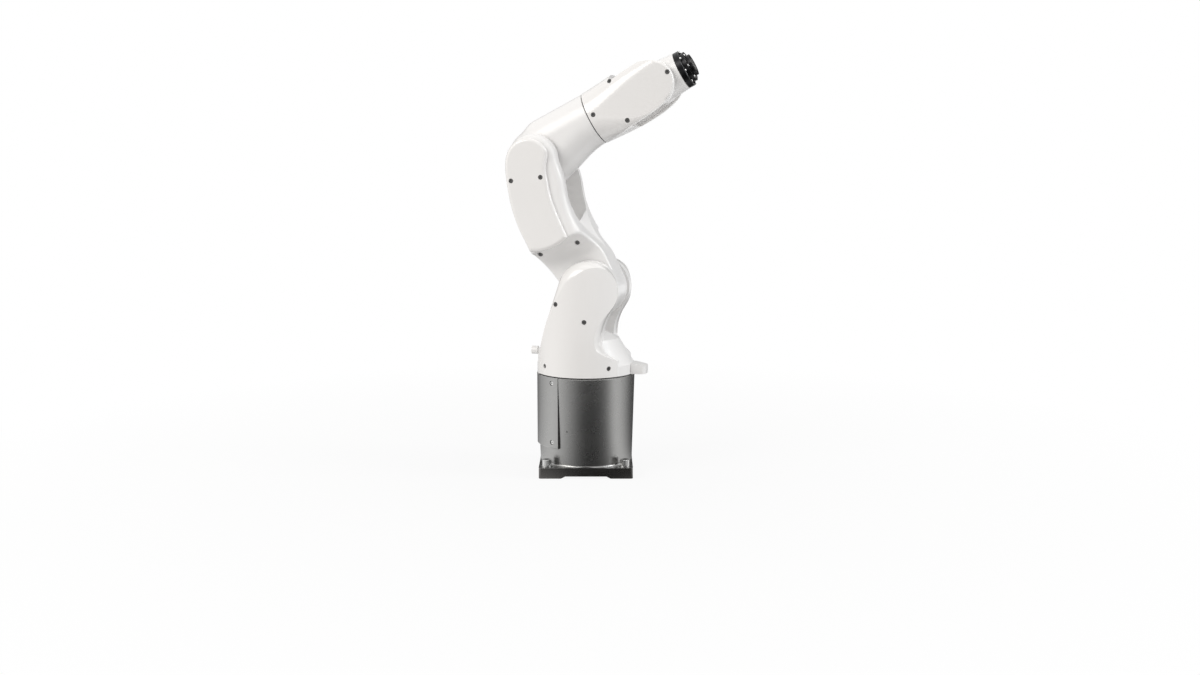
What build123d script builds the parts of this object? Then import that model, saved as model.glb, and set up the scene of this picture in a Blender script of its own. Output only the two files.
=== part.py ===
"""A small articulated robot arm on a round cast base, modelled in the pose in which it stands.

Millimetres, +Z up. The origin is the centre of the foot's underside and +X points to the front of the base.
Each link is drawn in its own side plane: local x and y lie in the plane that the arm moves in, and local z
points to the arm's right-hand side. A negative local z is the left-hand side.
"""

import os
from math import acos, atan2, cos, degrees, radians, sin, sqrt

from build123d import *

# Pose at rest, in degrees
waist_angle = -14.5  # arm plane about the vertical, from +X
link_angle = 24.5  # link arm, backwards from the vertical
forearm_angle = 27.3  # forearm, above the horizontal

# Distances between the axes
shoulder_forward = 20.0
shoulder_height = 345.0
link_length = 260.0
elbow_rise = 20.0  # forearm axis above the elbow axis
wrist_reach = 260.0
flange_reach = 75.0

# Clearances and overruns
seat_gap = 0.3  # between two pieces that seat on each other
seam_gap = 2.0  # open seam between two moving housings
sweep_gap = 7.0  # around a piece that sweeps through another
overrun = 10.0  # how far a cutting shape runs past what it cuts

# Base casting
foot_size = 174.0
foot_height = 20.0
foot_corner = 5.0
foot_pad = 41.0  # side of the pad left standing under each corner
foot_relief = 4.0  # height of the channels between the pads
foot_relief_ramp = 8.0
foot_bolt_inset = 15.0
foot_bolt_radius = 4.5
foot_spotface_radius = 10.5
foot_spotface_depth = 1.0
barrel_inset = 0.5  # barrel's foot inside the edge of the foot plate
barrel_taper = 5.0
barrel_top = 186.0
barrel_edge = 1.5
barrel_fillet = 4.0

# Rear cover of the base
rear_cover_half_angle = 56.5
rear_cover_bottom = 53.0
rear_cover_thickness = 6.0
rear_cover_proud = 0.8
rear_cover_edge = 0.8
rear_cover_screw_angle = 46.5
rear_cover_screw_inset = 11.0
cover_screw_radius = 4.4
cover_screw_depth = 4.5

# Turning ring between the base and the column
waist_ring_inset = 2.0
waist_ring_width = 29.0

# Column
skirt_height = 18.0
skirt_edge = 2.0
ledge_radius = 62.0
saddle_radius = 22.0
cheek_inner = 36.0
cheek_outer = 54.0
shoulder_radius = 55.0
column_rear = 78.0  # rear edge of the cheek, behind the waist axis
column_cover_proud = 38.0
column_cover_round = 26.0
column_cover_front_height = 28.5
hollow_forward = 76.0  # centre of the hollow in the cover's front edge
column_skirt_screw_angle = 42.0
column_skirt_screw_height = 16.5
ledge_share = 0.41  # heights as shares of the column, from its underside to the shoulder axis
saddle_share = 0.53
column_rear_share = 0.235
# hollow: height of its centre and radius, as shares of the room from the cover's front corner to the shoulder
hollow_shares = (0.284, 0.249)
# screws: from the shoulder in shoulder radii, and the recess floor as a share of the cover's reach
column_cover_screw_shares = ((-1.0, 0.42, 0.875), (0.0, 0.98, 0.92))

# Small pieces on the column
lug_length = 26.0
lug_width = 34.0
lug_corner = 9.0
lug_height = 20.0
lug_slope = 5.0
stub_length = 12.0
stub_neck_length = 16.0
stub_radius = 7.5
stub_neck_radius = 4.5
stub_seat_depth = 1.6  # flat spot face sunk into the cone
stub_rise = 36.0

# Link arm
hub_radius = 52.0
hub_play = 2.0
tine_inner = 52.0
tine_outer = 76.0
elbow_radius = 46.0  # round end of the fork
elbow_lead = 5.0  # its centre, ahead of the elbow axis
link_rear_swell = 71.0  # rear edge, behind the line of the two axes
link_front_edge = 27.0  # front edge, ahead of the line of the two axes
link_flare_end = 103.0
link_round = 14.0
link_hem = 5.0  # rounding where the fork overhangs the hollow curve
fork_floor = 128.0
fork_round = 44.0
fork_relief_angle = 155.0  # bend at which the folded wrist meets the mouth of the fork
link_rear_shares = ((0.93, 0.34), (1.0, 0.57), (0.925, 0.82))
link_front_shares = ((1.62, 0.79), (1.37, 0.69), (1.2, 0.577), (1.2, 0.46), (1.41, 0.35), (1.76, 0.245))

# Covers on the link arm
link_cover_proud = 9.0
link_cover_round = 7.0
link_cover_top_radius = 41.0
link_cover_bottom = 98.0
link_cover_front = 11.0
link_cover_rear_shares = ((0.73, 0.942), (0.92, 0.704), (0.945, 0.577), (0.92, 0.42))
link_cover_front_shares = ((1.0, 0.4), (1.0, 0.5), (1.27, 0.72), (1.82, 0.823), (2.64, 0.923))
link_cover_screw_shares = ((-0.6, 0.92), (0.155, 0.855))  # of the rear swell and of the link's length
link_valley_screw_shares = ((-0.8, 0.869), (0.2, 0.683))  # of the rear swell and of the flare's radius

# Forearm
forearm_radius = 49.0
forearm_round = 47.0
forearm_straight_start = 25.0
elbow_drum_radius = 60.0
elbow_chin_shares = (0.31, 0.343)  # of the way from under the drum to the forearm's end, along and up

# Wrist
wrist_length = 130.0  # from the roll seam to the wrist axis
wrist_radius = 50.0
wrist_crown = 53.0
wrist_crown_at = 75.0
wrist_cheek_radius = 40.0
wrist_half_width = 48.0
wrist_skin = 4.5
wrist_band = 24.0  # half width of the housing left bare between the two covers
wrist_slot = 38.5
wrist_sweep_radius = 84.0  # slot cut for the hand and flange to swing through
cheek_top_angle = 68.0
cheek_under_angle = -78.0
wrist_rim = 5.0  # rounding around the cheek's end
wrist_pivot_radius = 20.0
wrist_top_shares = ((1.0, 1.0), (0.92, 1.52))
wrist_under_shares = ((0.85, 1.49), (0.91, 1.05), (0.935, 0.62))
# sections: place along the wrist, then half height, half width, upper corner and lower corner, in shares of
# the wrist's span and the root's radius
wrist_section_shares = (
    (-0.03, 1.0, 1.0, 0.99, 0.99),
    (0.21, 1.03, 1.01, 0.9, 0.7),
    (0.44, 1.06, 1.0, 0.74, 0.32),
    (0.74, 1.06, 0.97, 0.58, 0.26),
    (1.05, 1.06, 0.96, 0.5, 0.26),
)
# screws: place along the wrist, height and recess floor, in shares of its length, radius and half width
wrist_screw_shares = ((0.47, 0.82, 0.69), (1.26, 0.08, 0.94), (0.47, -0.76, 0.94), (0.075, 0.0, 0.97))

# Hand and tool flange
hand_half_width = 34.0
hand_radius = 38.0
hand_corner = 30.0
hand_nose_radius = 34.3
hand_nose_corner = 34.0
hand_end = 50.0
hand_round = 10.0
flange_ring_radius = 34.0
flange_ring_length = 11.0
flange_ring_edge = 1.0
flange_step_radius = 28.0
flange_step_length = 7.0
flange_radius = 20.0
flange_bolt_circle = 31.5
flange_bolt_radius = 2.1
flange_bolt_depth = 9.0
flange_bolt_count = 4
flange_pilot_radius = 10.0
flange_pilot_depth = 6.0

# Bearings that carry the swinging links
shoulder_bearing_radius = 44.0
elbow_bearing_radius = 40.0

# Side planes of the links
turn_cos = cos(radians(waist_angle))
turn_sin = sin(radians(waist_angle))
waist_side = Plane(origin=(0, 0, 0), x_dir=(turn_cos, turn_sin, 0), z_dir=(turn_sin, -turn_cos, 0))
link_side = Plane(
    waist_side.location * Location((shoulder_forward, shoulder_height, 0), (0, 0, link_angle))
)
link_front = Plane(origin=link_side.origin, x_dir=link_side.z_dir, z_dir=link_side.x_dir * -1)
elbow_side = Plane(
    link_side.location * Location((0, link_length, 0), (0, 0, forearm_angle - link_angle))
)
forearm_side = Plane(elbow_side.location * Location((0, elbow_rise, 0)))
forearm_axis = Plane(
    origin=forearm_side.origin, x_dir=forearm_side.y_dir, z_dir=forearm_side.x_dir
)
wrist_side = Plane(forearm_side.location * Location((wrist_reach, 0, 0)))
waist_axis = Axis((0, 0, 0), (0, 0, 1))
sides = ((1, "right"), (-1, "left"))


def on_circle(centre, radius, angle):
    """Point of a circle at an angle in degrees."""
    return (centre[0] + radius * cos(radians(angle)), centre[1] + radius * sin(radians(angle)))


def tangent_angle(centre, radius, point, side):
    """Angle at which a line from point touches the circle, on the side that side (1 or -1) names."""
    away_x = point[0] - centre[0]
    away_y = point[1] - centre[1]
    spread = acos(radius / sqrt(away_x**2 + away_y**2))
    return degrees(atan2(away_y, away_x) + side * spread)


os.makedirs("parts", exist_ok=True)

# Base: a square foot on four corner pads, and a barrel that widens towards the waist
barrel_foot_radius = foot_size / 2 - barrel_inset
barrel_top_radius = barrel_foot_radius + barrel_taper
rear_cover_radius = barrel_top_radius + rear_cover_proud
rear_recess_radius = rear_cover_radius - rear_cover_thickness
foot_bolt_spacing = foot_size - 2 * foot_bolt_inset


def rear_sector(outer, inner, half_angle):
    """Ring sector about the vertical axis, centred on the rear of the base."""
    reach = 2 * outer
    with BuildSketch() as sector:
        with BuildLine():
            Polyline(
                (0, 0),
                on_circle((0, 0), reach, 180 - half_angle),
                (-reach, 0),
                on_circle((0, 0), reach, 180 + half_angle),
                close=True,
            )
        make_face()
        Circle(outer, mode=Mode.INTERSECT)
        Circle(inner, mode=Mode.SUBTRACT)
    return sector.sketch


with BuildPart() as barrel_foot_fillet:
    with BuildSketch(Plane.XZ):
        with BuildLine():
            foot_run = barrel_foot_radius + barrel_fillet
            Line((barrel_foot_radius - barrel_fillet, foot_height), (foot_run, foot_height))
            RadiusArc(
                (foot_run, foot_height),
                (barrel_foot_radius, foot_height + barrel_fillet),
                barrel_fillet,
            )
            Polyline(
                (barrel_foot_radius, foot_height + barrel_fillet),
                (barrel_foot_radius - barrel_fillet, foot_height + barrel_fillet),
                (barrel_foot_radius - barrel_fillet, foot_height),
            )
        make_face()
    revolve(axis=waist_axis)
    with BuildSketch(Plane.XY.offset(foot_height)):
        RectangleRounded(foot_size, foot_size, foot_corner)
    extrude(amount=barrel_fillet, mode=Mode.INTERSECT)

with BuildPart() as base_casting:
    with BuildSketch():
        RectangleRounded(foot_size, foot_size, foot_corner)
    extrude(amount=foot_height)
    with BuildSketch(Plane.XZ):
        with BuildLine():
            Polyline(
                (0, foot_relief),
                (barrel_foot_radius, foot_relief),
                (barrel_foot_radius, foot_height),
                (barrel_top_radius, barrel_top - barrel_edge),
                (barrel_top_radius - barrel_edge, barrel_top),
                (0, barrel_top),
                close=True,
            )
        make_face()
    revolve(axis=waist_axis)
    add(barrel_foot_fillet.part)
    channel = foot_size - 2 * foot_pad
    for across in (Plane.XZ, Plane.YZ):
        with BuildSketch(across):
            with BuildLine():
                Polyline(
                    (-channel / 2, 0),
                    (-channel / 2 + foot_relief_ramp, foot_relief),
                    (channel / 2 - foot_relief_ramp, foot_relief),
                    (channel / 2, 0),
                    close=True,
                )
            make_face()
        extrude(amount=foot_size, both=True, mode=Mode.SUBTRACT)
    with Locations(Plane.XY.offset(foot_height)):
        with GridLocations(foot_bolt_spacing, foot_bolt_spacing, 2, 2):
            CounterBoreHole(foot_bolt_radius, foot_spotface_radius, foot_spotface_depth)
    with BuildSketch(Plane.XY.offset(rear_cover_bottom)):
        add(rear_sector(barrel_top_radius + overrun, rear_recess_radius, rear_cover_half_angle))
    extrude(amount=barrel_top - rear_cover_bottom, mode=Mode.SUBTRACT)
base_casting.part.label = "base_casting"
export_step(base_casting.part, "parts/base_casting.step")

# Rear cover: a curved plate over the cable chamber, held at its corners
rear_cover_play = degrees(seat_gap / rear_cover_radius)
with BuildPart() as base_rear_cover:
    with BuildSketch(Plane.XY.offset(rear_cover_bottom)):
        add(
            rear_sector(
                rear_cover_radius,
                rear_recess_radius + seat_gap,
                rear_cover_half_angle - rear_cover_play,
            )
        )
    extrude(amount=barrel_top - rear_cover_bottom)
    outer_skin = base_rear_cover.faces().filter_by(GeomType.CYLINDER).sort_by(SortBy.AREA)[-1]
    chamfer(outer_skin.edges(), rear_cover_edge)
    screw_rows = (rear_cover_bottom + rear_cover_screw_inset, barrel_top - rear_cover_screw_inset)
    for side, _ in sides:
        spot = on_circle((0, 0), rear_cover_radius, 180 + side * rear_cover_screw_angle)
        for height in screw_rows:
            with BuildSketch(Plane(origin=(*spot, height), z_dir=(*spot, 0))):
                Circle(cover_screw_radius)
            extrude(amount=-cover_screw_depth, mode=Mode.SUBTRACT)
base_rear_cover.part.label = "base_rear_cover"
export_step(base_rear_cover.part, "parts/base_rear_cover.step")

waist_ring_radius = barrel_top_radius - waist_ring_inset
with BuildPart() as waist_ring:
    with BuildSketch(Plane.XY.offset(barrel_top)):
        Circle(waist_ring_radius)
        Circle(waist_ring_radius - waist_ring_width, mode=Mode.SUBTRACT)
    extrude(amount=seam_gap - seat_gap)
waist_ring.part.label = "waist_ring"
export_step(waist_ring.part, "parts/waist_ring.step")

# Column: a turned skirt and ledge that carry two upright cheeks around the link's hub
column_bottom = barrel_top + seam_gap
column_radius = barrel_top_radius
column_height = shoulder_height - column_bottom
shoulder = (shoulder_forward, shoulder_height)
cheek_back = (-column_rear, column_bottom + column_height * column_rear_share)
back_angle = tangent_angle(shoulder, shoulder_radius, cheek_back, -1)
cheek_front = (
    sqrt(column_radius**2 - cheek_outer**2),
    column_bottom + column_cover_front_height,
)
hollow_room = column_height - column_cover_front_height
hollow = (hollow_forward, cheek_front[1] + hollow_room * hollow_shares[0])
hollow_radius = hollow_room * hollow_shares[1]
lobe_leave = on_circle(shoulder, shoulder_radius, -35)
hollow_meet = (hollow[0] - hollow_radius, hollow[1])
hollow_end = tangent_angle(hollow, hollow_radius, cheek_front, -1)
hollow_middle = on_circle(hollow, hollow_radius, (hollow_end % 360 + 180) / 2)
hollow_leave = on_circle(hollow, hollow_radius, hollow_end)
back_touch = on_circle(shoulder, shoulder_radius, back_angle)
with BuildSketch() as column_cover_outline:
    with BuildLine():
        Polyline(
            cheek_front,
            (cheek_front[0], column_bottom),
            (-column_rear, column_bottom),
            cheek_back,
            back_touch,
        )
        ThreePointArc(back_touch, on_circle(shoulder, shoulder_radius, 75), lobe_leave)
        Spline(lobe_leave, hollow_meet, tangents=[on_circle((0, 0), 1, -35 - 90), (0, -1)])
        ThreePointArc(hollow_meet, hollow_middle, hollow_leave)
        Line(hollow_leave, cheek_front)
    make_face()

ledge_height = column_height * ledge_share
skirt_top = skirt_height + skirt_edge
cone_drop = (stub_rise - skirt_top) / (ledge_height - skirt_top)
skirt_top_radius = column_radius - skirt_edge
cone_radius = skirt_top_radius - cone_drop * (skirt_top_radius - ledge_radius)
stub_seat = cone_radius - stub_seat_depth
stub_axis = Plane(
    origin=waist_side.from_local_coords(Vector(0, column_bottom + stub_rise, 0)),
    x_dir=(0, 0, 1),
    z_dir=waist_side.x_dir * -1,
)
saddle_top = column_bottom + column_height * saddle_share
with BuildPart() as column_frame:
    with BuildSketch(Plane.XZ):
        with BuildLine():
            Polyline(
                (0, column_bottom),
                (column_radius, column_bottom),
                (column_radius, column_bottom + skirt_height),
                (skirt_top_radius, column_bottom + skirt_top),
                (ledge_radius, column_bottom + ledge_height),
                (saddle_radius, saddle_top),
                (0, saddle_top),
                close=True,
            )
        make_face()
    revolve(axis=waist_axis)
    for side, _ in sides:
        with BuildSketch(waist_side.offset(side * cheek_inner)):
            add(column_cover_outline.sketch)
        extrude(amount=side * (cheek_outer - cheek_inner))
    for side, _ in sides:
        with BuildSketch(waist_side.offset(side * cheek_outer)):
            add(column_cover_outline.sketch)
        extrude(amount=side * column_radius, mode=Mode.SUBTRACT)
    with BuildSketch(stub_axis.offset(stub_seat)):
        Circle(stub_radius + seam_gap)
    extrude(amount=column_radius, mode=Mode.SUBTRACT)
column_frame.part.label = "column_frame"
export_step(column_frame.part, "parts/column_frame.step")

# Column covers: moulded shells that follow the barrel's round and roll over towards the shoulder lobe
cover_reach = cheek_outer + column_cover_proud
for side, hand in sides:
    with BuildPart() as column_cover:
        with BuildSketch(waist_side.offset(side * cheek_outer)):
            add(column_cover_outline.sketch)
        extrude(amount=side * column_cover_proud)
        outer_face = column_cover.faces().sort_by(Axis(waist_side.origin, waist_side.z_dir * side))[-1]
        upper_edges = outer_face.edges().sort_by(Axis.Z)[1:]
        fillet(upper_edges, column_cover_round)
        with BuildSketch():
            Circle(column_radius)
        extrude(amount=2 * shoulder_height, mode=Mode.INTERSECT)
        for along, down, floor in column_cover_screw_shares:
            spot = (
                shoulder_forward + along * shoulder_radius,
                shoulder_height - down * shoulder_radius,
            )
            with BuildSketch(waist_side.offset(side * floor * cover_reach)):
                with Locations(spot):
                    Circle(cover_screw_radius)
            extrude(amount=side * cover_reach, mode=Mode.SUBTRACT)
        for turn in (-column_skirt_screw_angle, column_skirt_screw_angle):
            heading = radians(waist_angle - side * 90 + turn)
            skirt_spot = (
                column_radius * cos(heading),
                column_radius * sin(heading),
                column_bottom + column_skirt_screw_height,
            )
            with BuildSketch(Plane(origin=skirt_spot, z_dir=(cos(heading), sin(heading), 0))):
                Circle(cover_screw_radius)
            extrude(amount=-cover_screw_depth, mode=Mode.SUBTRACT)
    column_cover.part.label = f"column_cover_{hand}"
    export_step(column_cover.part, f"parts/column_cover_{hand}.step")

# Lug: a tongue on the front of the skirt
lug_root = column_radius - lug_corner
lug_tip_reach = column_radius + lug_length
with BuildPart() as column_front_lug:
    with BuildSketch(waist_side.offset(-lug_width / 2)):
        with BuildLine():
            Polyline(
                (lug_root, column_bottom),
                (lug_tip_reach, column_bottom),
                (lug_tip_reach, column_bottom + lug_height - lug_slope),
                (column_radius, column_bottom + lug_height),
                (lug_root, column_bottom + lug_height),
                close=True,
            )
        make_face()
    extrude(amount=lug_width)
    with BuildSketch(Plane.XY.offset(column_bottom)):
        Circle(column_radius + seat_gap)
    extrude(amount=lug_height, mode=Mode.SUBTRACT)
    lug_tip = column_front_lug.faces().sort_by(Axis(waist_side.origin, waist_side.x_dir))[-1]
    fillet(lug_tip.edges().filter_by(Axis.Z), lug_corner)
column_front_lug.part.label = "column_front_lug"
export_step(column_front_lug.part, "parts/column_front_lug.step")

# Stub: a short fitting that stands on its spot face behind the column
with BuildPart() as column_rear_stub:
    with BuildSketch(stub_axis.offset(stub_seat)):
        Circle(stub_neck_radius)
    extrude(amount=stub_neck_length)
    with BuildSketch(stub_axis.offset(stub_seat + stub_neck_length)):
        Circle(stub_radius)
    extrude(amount=stub_length)
column_rear_stub.part.label = "column_rear_stub"
export_step(column_rear_stub.part, "parts/column_rear_stub.step")

# Bearings between the shoulder cheeks and the link's hub
hub_half_width = cheek_inner - hub_play
for side, hand in sides:
    with BuildPart() as shoulder_bearing:
        with BuildSketch(link_side.offset(side * (hub_half_width + seat_gap))):
            Circle(shoulder_bearing_radius)
        extrude(amount=side * (hub_play - seat_gap))
    shoulder_bearing.part.label = f"shoulder_bearing_{hand}"
    export_step(shoulder_bearing.part, f"parts/shoulder_bearing_{hand}.step")

# Link arm: a hub between the cheeks that widens in a hollow curve into a fork around the elbow
elbow = (0, link_length)
fork_end = (elbow_lead, link_length)
hub_rear = on_circle((0, 0), hub_radius, 172)
hub_front = on_circle((0, 0), hub_radius, 4)
elbow_rear = on_circle(fork_end, elbow_radius, 150)
elbow_front = on_circle(fork_end, elbow_radius, -18)
link_rear_line = [(-link_rear_swell * back, link_length * up) for back, up in link_rear_shares]
link_front_line = [(link_front_edge * out, link_length * up) for out, up in link_front_shares]
with BuildSketch() as link_outline:
    with BuildLine():
        Spline(
            hub_rear,
            *link_rear_line,
            elbow_rear,
            tangents=[on_circle((0, 0), 1, 172 - 90), on_circle((0, 0), 1, 150 - 90)],
        )
        ThreePointArc(elbow_rear, on_circle(fork_end, elbow_radius, 75), elbow_front)
        Spline(
            elbow_front,
            *link_front_line,
            hub_front,
            tangents=[on_circle((0, 0), 1, -18 - 90), on_circle((0, 0), 1, 4 - 90)],
        )
        ThreePointArc(hub_front, on_circle((0, 0), hub_radius, -75), hub_rear)
    make_face()

flare_radius = tine_outer - hub_half_width
flare_start = link_flare_end - flare_radius
wrist_start = wrist_reach - wrist_length
folded_side = Plane(
    link_side.location * Location((0, link_length, 0), (0, 0, 90 - fork_relief_angle))
)
folded_axis = Plane(
    origin=folded_side.from_local_coords(Vector(0, elbow_rise, 0)),
    x_dir=folded_side.y_dir,
    z_dir=folded_side.x_dir,
)
with BuildPart() as link_frame:
    with BuildSketch(link_side.offset(-tine_outer)):
        add(link_outline.sketch)
    extrude(amount=2 * tine_outer)
    flanks = link_frame.faces().sort_by(Axis(link_side.origin, link_side.z_dir))
    fillet(flanks[0].edges() + flanks[-1].edges(), link_round)
    with BuildSketch(link_front):
        for side, _ in sides:
            with BuildLine():
                Line((side * hub_half_width, -2 * hub_radius), (side * hub_half_width, flare_start))
                ThreePointArc(
                    (side * hub_half_width, flare_start),
                    (
                        side * (tine_outer - flare_radius * cos(radians(45))),
                        flare_start + flare_radius * sin(radians(45)),
                    ),
                    (side * tine_outer, link_flare_end),
                )
                Polyline(
                    (side * tine_outer, link_flare_end),
                    (side * (tine_outer + overrun), link_flare_end),
                    (side * (tine_outer + overrun), -2 * hub_radius),
                    (side * hub_half_width, -2 * hub_radius),
                )
            make_face()
    extrude(amount=2 * link_rear_swell, both=True, mode=Mode.SUBTRACT)
    link_rise = Axis(link_side.origin, link_side.y_dir)
    hem = link_frame.edges().filter_by_position(
        link_rise, link_flare_end - seat_gap, link_flare_end + seat_gap
    )
    fillet(hem, link_hem)
    with BuildSketch(link_front):
        with BuildLine():
            slot = FilletPolyline(
                (-tine_inner, 2 * link_length),
                (-tine_inner, fork_floor),
                (tine_inner, fork_floor),
                (tine_inner, 2 * link_length),
                radius=fork_round,
            )
            Line(slot @ 1, slot @ 0)
        make_face()
    extrude(amount=2 * link_rear_swell, both=True, mode=Mode.SUBTRACT)
    with BuildSketch(folded_axis.offset(wrist_start - overrun)):
        Circle(wrist_crown + sweep_gap)
    extrude(amount=wrist_length, mode=Mode.SUBTRACT)
    for along, up in link_valley_screw_shares:
        spot = (along * link_rear_swell, flare_start + up * flare_radius)
        valley = tine_outer - flare_radius * sqrt(1 - up**2)
        for side, _ in sides:
            with BuildSketch(link_side.offset(side * (valley - cover_screw_depth))):
                with Locations(spot):
                    Circle(cover_screw_radius)
            extrude(amount=side * tine_outer, mode=Mode.SUBTRACT)
link_frame.part.label = "link_frame"
export_step(link_frame.part, "parts/link_frame.step")

# Link covers: long oval lids on the outside of the fork
cover_top_front = on_circle(elbow, link_cover_top_radius, 8)
cover_top_rear = on_circle(elbow, link_cover_top_radius, 130)
link_cover_rear_line = [(-link_rear_swell * back, link_length * up) for back, up in link_cover_rear_shares]
link_cover_front_line = [(link_cover_front * out, link_length * up) for out, up in link_cover_front_shares]
link_cover_foot = (
    (link_cover_rear_line[-1][0] + link_cover_front_line[0][0]) / 2,
    link_cover_bottom,
)
with BuildSketch() as link_cover_outline:
    with BuildLine():
        Spline(
            *link_cover_front_line,
            cover_top_front,
            tangents=[(0, 1), on_circle((0, 0), 1, 8 + 90)],
        )
        ThreePointArc(cover_top_front, on_circle(elbow, link_cover_top_radius, 70), cover_top_rear)
        Spline(
            cover_top_rear,
            *link_cover_rear_line,
            tangents=[on_circle((0, 0), 1, 130 + 90), (0, -1)],
        )
        ThreePointArc(link_cover_rear_line[-1], link_cover_foot, link_cover_front_line[0])
    make_face()
for side, hand in sides:
    with BuildPart() as link_cover:
        with BuildSketch(link_side.offset(side * tine_outer)):
            add(link_cover_outline.sketch)
        extrude(amount=side * link_cover_proud)
        outer_face = link_cover.faces().sort_by(Axis(link_side.origin, link_side.z_dir * side))[-1]
        fillet(outer_face.edges(), link_cover_round)
        with BuildSketch(link_side.offset(side * (tine_outer + link_cover_proud))):
            for along, up in link_cover_screw_shares:
                with Locations((along * link_rear_swell, up * link_length)):
                    Circle(cover_screw_radius)
        extrude(amount=-side * cover_screw_depth, mode=Mode.SUBTRACT)
    link_cover.part.label = f"link_cover_{hand}"
    export_step(link_cover.part, f"parts/link_cover_{hand}.step")

# Bearings between the fork and the elbow
for side, hand in sides:
    with BuildPart() as elbow_bearing:
        with BuildSketch(elbow_side.offset(side * (forearm_radius + seat_gap))):
            Circle(elbow_bearing_radius)
        extrude(amount=side * (tine_inner - forearm_radius - seat_gap))
    elbow_bearing.part.label = f"elbow_bearing_{hand}"
    export_step(elbow_bearing.part, f"parts/elbow_bearing_{hand}.step")

# Forearm: an elbow drum that runs out into a round tube
forearm_end = wrist_start - seam_gap
drum = (0, -elbow_rise)
drum_top = on_circle(drum, elbow_drum_radius, 100)
drum_under = on_circle(drum, elbow_drum_radius, -70)
chin = (
    drum_under[0] + elbow_chin_shares[0] * (forearm_end - drum_under[0]),
    drum_under[1] + elbow_chin_shares[1] * (-forearm_radius - drum_under[1]),
)
with BuildSketch() as forearm_outline:
    with BuildLine():
        Polyline(
            (forearm_end, -forearm_radius),
            (forearm_end, forearm_radius),
            (forearm_straight_start, forearm_radius),
        )
        Spline(
            (forearm_straight_start, forearm_radius),
            drum_top,
            tangents=[(-1, 0), on_circle((0, 0), 1, 100 + 90)],
        )
        ThreePointArc(drum_top, on_circle(drum, elbow_drum_radius, 180), drum_under)
        Spline(
            drum_under,
            chin,
            (forearm_end, -forearm_radius),
            tangents=[on_circle((0, 0), 1, -70 + 90), (1, 0)],
        )
    make_face()
with BuildPart() as forearm_housing:
    with BuildSketch(forearm_side.offset(-forearm_radius)):
        add(forearm_outline.sketch)
    extrude(amount=2 * forearm_radius)
    flanks = forearm_housing.faces().sort_by(Axis(forearm_side.origin, forearm_side.z_dir))
    end_face = forearm_housing.faces().sort_by(Axis(forearm_side.origin, forearm_side.x_dir))[-1]
    fillet((flanks[0].edges() + flanks[-1].edges()) - end_face.edges(), forearm_round)
forearm_housing.part.label = "forearm_housing"
export_step(forearm_housing.part, "parts/forearm_housing.step")

# Dark ring that shows in the seam where the wrist rolls
with BuildPart() as wrist_roll_ring:
    with BuildSketch(forearm_axis.offset(forearm_end)):
        Circle(forearm_radius - seam_gap)
    extrude(amount=seam_gap - seat_gap)
wrist_roll_ring.part.label = "wrist_roll_ring"
export_step(wrist_roll_ring.part, "parts/wrist_roll_ring.step")

# Wrist: a round root that grows into two flat cheeks around the hand, closed by a cover on each side
wrist_axis = (wrist_reach, 0)
wrist_span = wrist_length + wrist_cheek_radius


def wrist_outline(inset):
    """Side outline of the wrist, drawn in by inset all round."""
    start = wrist_start + inset
    root = wrist_radius - inset
    cheek = wrist_cheek_radius - inset
    cheek_top = on_circle(wrist_axis, cheek, cheek_top_angle)
    cheek_under = on_circle(wrist_axis, cheek, cheek_under_angle)
    top_line = [(wrist_start + wrist_crown_at * x, wrist_crown * y - inset) for y, x in wrist_top_shares]
    under_line = [(wrist_start + wrist_crown_at * x, inset - wrist_crown * y) for y, x in wrist_under_shares]
    with BuildSketch() as outline:
        with BuildLine():
            Line((start, -root), (start, root))
            Spline((start, root), *top_line, cheek_top)
            ThreePointArc(cheek_top, (wrist_axis[0] + cheek, 0), cheek_under)
            Spline(cheek_under, *under_line, (start, -root))
        make_face()
    return outline.sketch


def wrist_form(inset):
    """Wrist without its slot, drawn in by inset all round."""
    with BuildPart() as form:
        for along, tall, wide, upper, lower in wrist_section_shares:
            with BuildSketch(forearm_axis.offset(wrist_start + wrist_span * along)) as section:
                Rectangle(2 * (wrist_radius * tall - inset), 2 * (wrist_radius * wide - inset))
                upper_corners = section.vertices().group_by(Axis.X)[-1]
                fillet(upper_corners, wrist_radius * wide * upper - inset)
                lower_corners = section.vertices().group_by(Axis.X)[0]
                fillet(lower_corners, wrist_radius * wide * lower - inset)
        loft()
        with BuildSketch(forearm_side.offset(-wrist_radius - overrun)):
            add(wrist_outline(inset))
        extrude(amount=2 * (wrist_radius + overrun), mode=Mode.INTERSECT)
    return form.part


def wrist_slab(half_width):
    """Block over the whole wrist that reaches half_width to either side."""
    with BuildPart() as slab:
        with BuildSketch(forearm_side.offset(-half_width)):
            with Locations((wrist_start + wrist_span / 2, 0)):
                Rectangle(2 * wrist_span, 4 * wrist_radius)
        extrude(amount=2 * half_width)
    return slab.part


with BuildPart() as wrist_swing:
    with BuildSketch(wrist_side.offset(-wrist_slot)):
        Circle(wrist_sweep_radius)
    extrude(amount=2 * wrist_slot)

with BuildPart() as wrist_housing:
    add(wrist_form(0))
    add(wrist_slab(wrist_band), mode=Mode.INTERSECT)
    add(wrist_form(wrist_skin))
    add(wrist_swing.part, mode=Mode.SUBTRACT)
wrist_housing.part.label = "wrist_housing"
export_step(wrist_housing.part, "parts/wrist_housing.step")

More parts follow.
